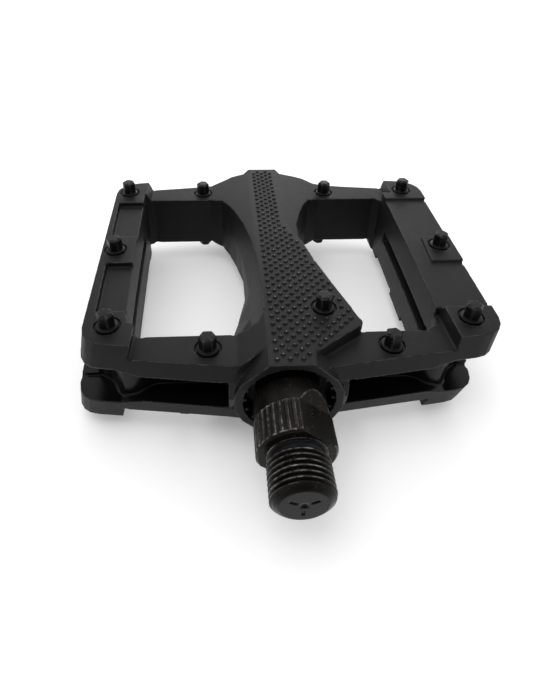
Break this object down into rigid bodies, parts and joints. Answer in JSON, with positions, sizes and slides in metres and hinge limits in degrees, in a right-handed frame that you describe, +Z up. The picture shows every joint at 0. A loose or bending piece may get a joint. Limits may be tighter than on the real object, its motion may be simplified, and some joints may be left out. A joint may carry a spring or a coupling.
{
  "type": "flat pedal",
  "caption": "Flat platform pedal: an open moulded body with hexagonal traction pins on both faces, spinning on a threaded steel spindle with bearings, a dust seal and an end cap.",
  "frame": {"origin": "centre of the flat end face of the spindle's threaded tip", "axes": "+Y along the spindle from its threaded tip to the outboard end of the body, +X across the body to the right, +Z up out of the upper tread"},
  "size_m": [0.1168, 0.131, 0.0342],
  "materials": {
    "black_nylon": "fine-grained satin black moulded nylon",
    "black_steel": "oiled dark steel with bright worn edges",
    "pin_steel": "black-oxide steel, satin",
    "bearing_steel": "ground bearing steel",
    "rubber": "matte black rubber"
  },
  "bodies": {
    "spindle": {"spindle": "black_steel", "inboard_inner_race": "bearing_steel", "outboard_inner_race": "bearing_steel", "tab_washer": "bearing_steel", "lock_nut": "black_steel"},
    "platform": {"platform": "black_nylon", "dust_seal": "rubber", "inboard_outer_race": "bearing_steel", "outboard_outer_race": "bearing_steel", "cap_o_ring": "rubber", "end_cap": "black_nylon", "pin_top_near_left": "pin_steel", "pin_top_near_right": "pin_steel", "pin_top_mid_left": "pin_steel", "pin_top_mid_right": "pin_steel", "pin_top_far_left": "pin_steel", "pin_top_far_right": "pin_steel", "pin_top_near_rail_left": "pin_steel", "pin_top_near_rail_right": "pin_steel", "pin_top_far_rail_left": "pin_steel", "pin_top_far_rail_right": "pin_steel", "pin_top_wing": "pin_steel", "pin_bottom_near_left": "pin_steel", "pin_bottom_near_right": "pin_steel", "pin_bottom_mid_left": "pin_steel", "pin_bottom_mid_right": "pin_steel", "pin_bottom_far_left": "pin_steel", "pin_bottom_far_right": "pin_steel", "pin_bottom_near_rail_left": "pin_steel", "pin_bottom_near_rail_right": "pin_steel", "pin_bottom_far_rail_left": "pin_steel", "pin_bottom_far_rail_right": "pin_steel", "pin_bottom_wing": "pin_steel"},
    "inboard_cage": {"inboard_ball_cage": "bearing_steel"},
    "outboard_cage": {"outboard_ball_cage": "bearing_steel"}
  },
  "joints": [
    {"name": "platform_spin", "type": "hinge", "parent": "spindle", "child": "platform", "pos_m": [0, 0.08, 0], "axis": [0, 1, 0], "continuous": true},
    {"name": "inboard_cage_spin", "type": "hinge", "parent": "spindle", "child": "inboard_cage", "pos_m": [0, 0.0385, 0], "axis": [0, 1, 0], "continuous": true},
    {"name": "outboard_cage_spin", "type": "hinge", "parent": "spindle", "child": "outboard_cage", "pos_m": [0, 0.109, 0], "axis": [0, 1, 0], "continuous": true}
  ],
  "couplings": [
    {"joint": "inboard_cage_spin", "follows": "platform_spin", "ratio": 0.5718},
    {"joint": "outboard_cage_spin", "follows": "platform_spin", "ratio": 0.6172}
  ]
}
